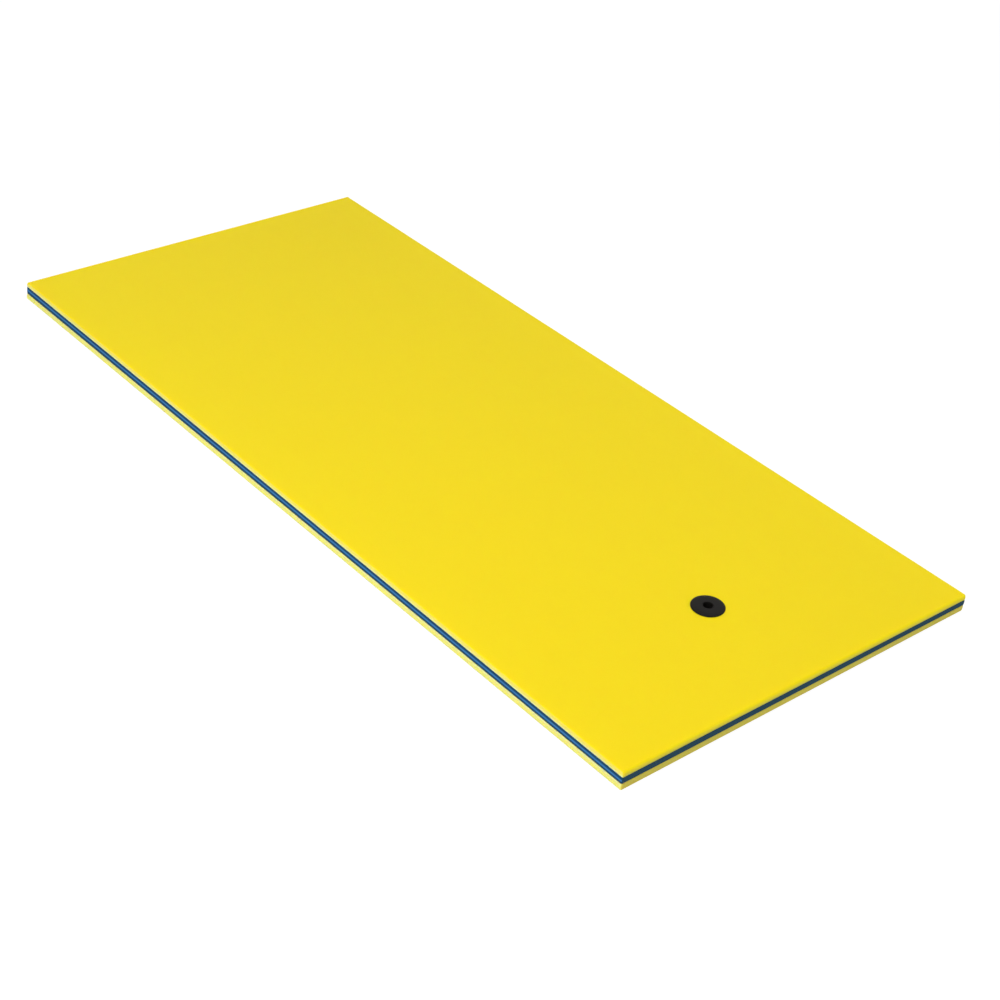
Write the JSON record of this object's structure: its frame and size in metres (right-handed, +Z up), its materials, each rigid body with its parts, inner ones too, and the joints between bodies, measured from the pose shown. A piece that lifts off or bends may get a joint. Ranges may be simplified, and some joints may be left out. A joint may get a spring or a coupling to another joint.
{
  "type": "swim float mat",
  "caption": "Long rectangular laminated foam float mat, yellow outside with a blue core, with a black screwed tether grommet near its end.",
  "frame": {"origin": "centre of the mat's underside, on the surface that it lies on", "axes": "+Z up through the foam, +X along the length towards the end with the grommet, +Y across the width"},
  "size_m": [1.8, 0.81, 0.0374],
  "materials": {
    "foam_yellow": "cross-linked polyethylene foam with its smooth matte skin on the face and fine open cells on the cut sides",
    "foam_blue": "cross-linked polyethylene foam, cut to fine matte cells",
    "grommet_black": "satin moulded nylon"
  },
  "bodies": {
    "root": {"top_foam_sheet": "foam_yellow", "core_foam_sheet": "foam_blue", "bottom_foam_sheet": "foam_yellow", "upper_grommet_flange": "grommet_black", "lower_grommet_flange": "grommet_black"}
  },
  "joints": []
}
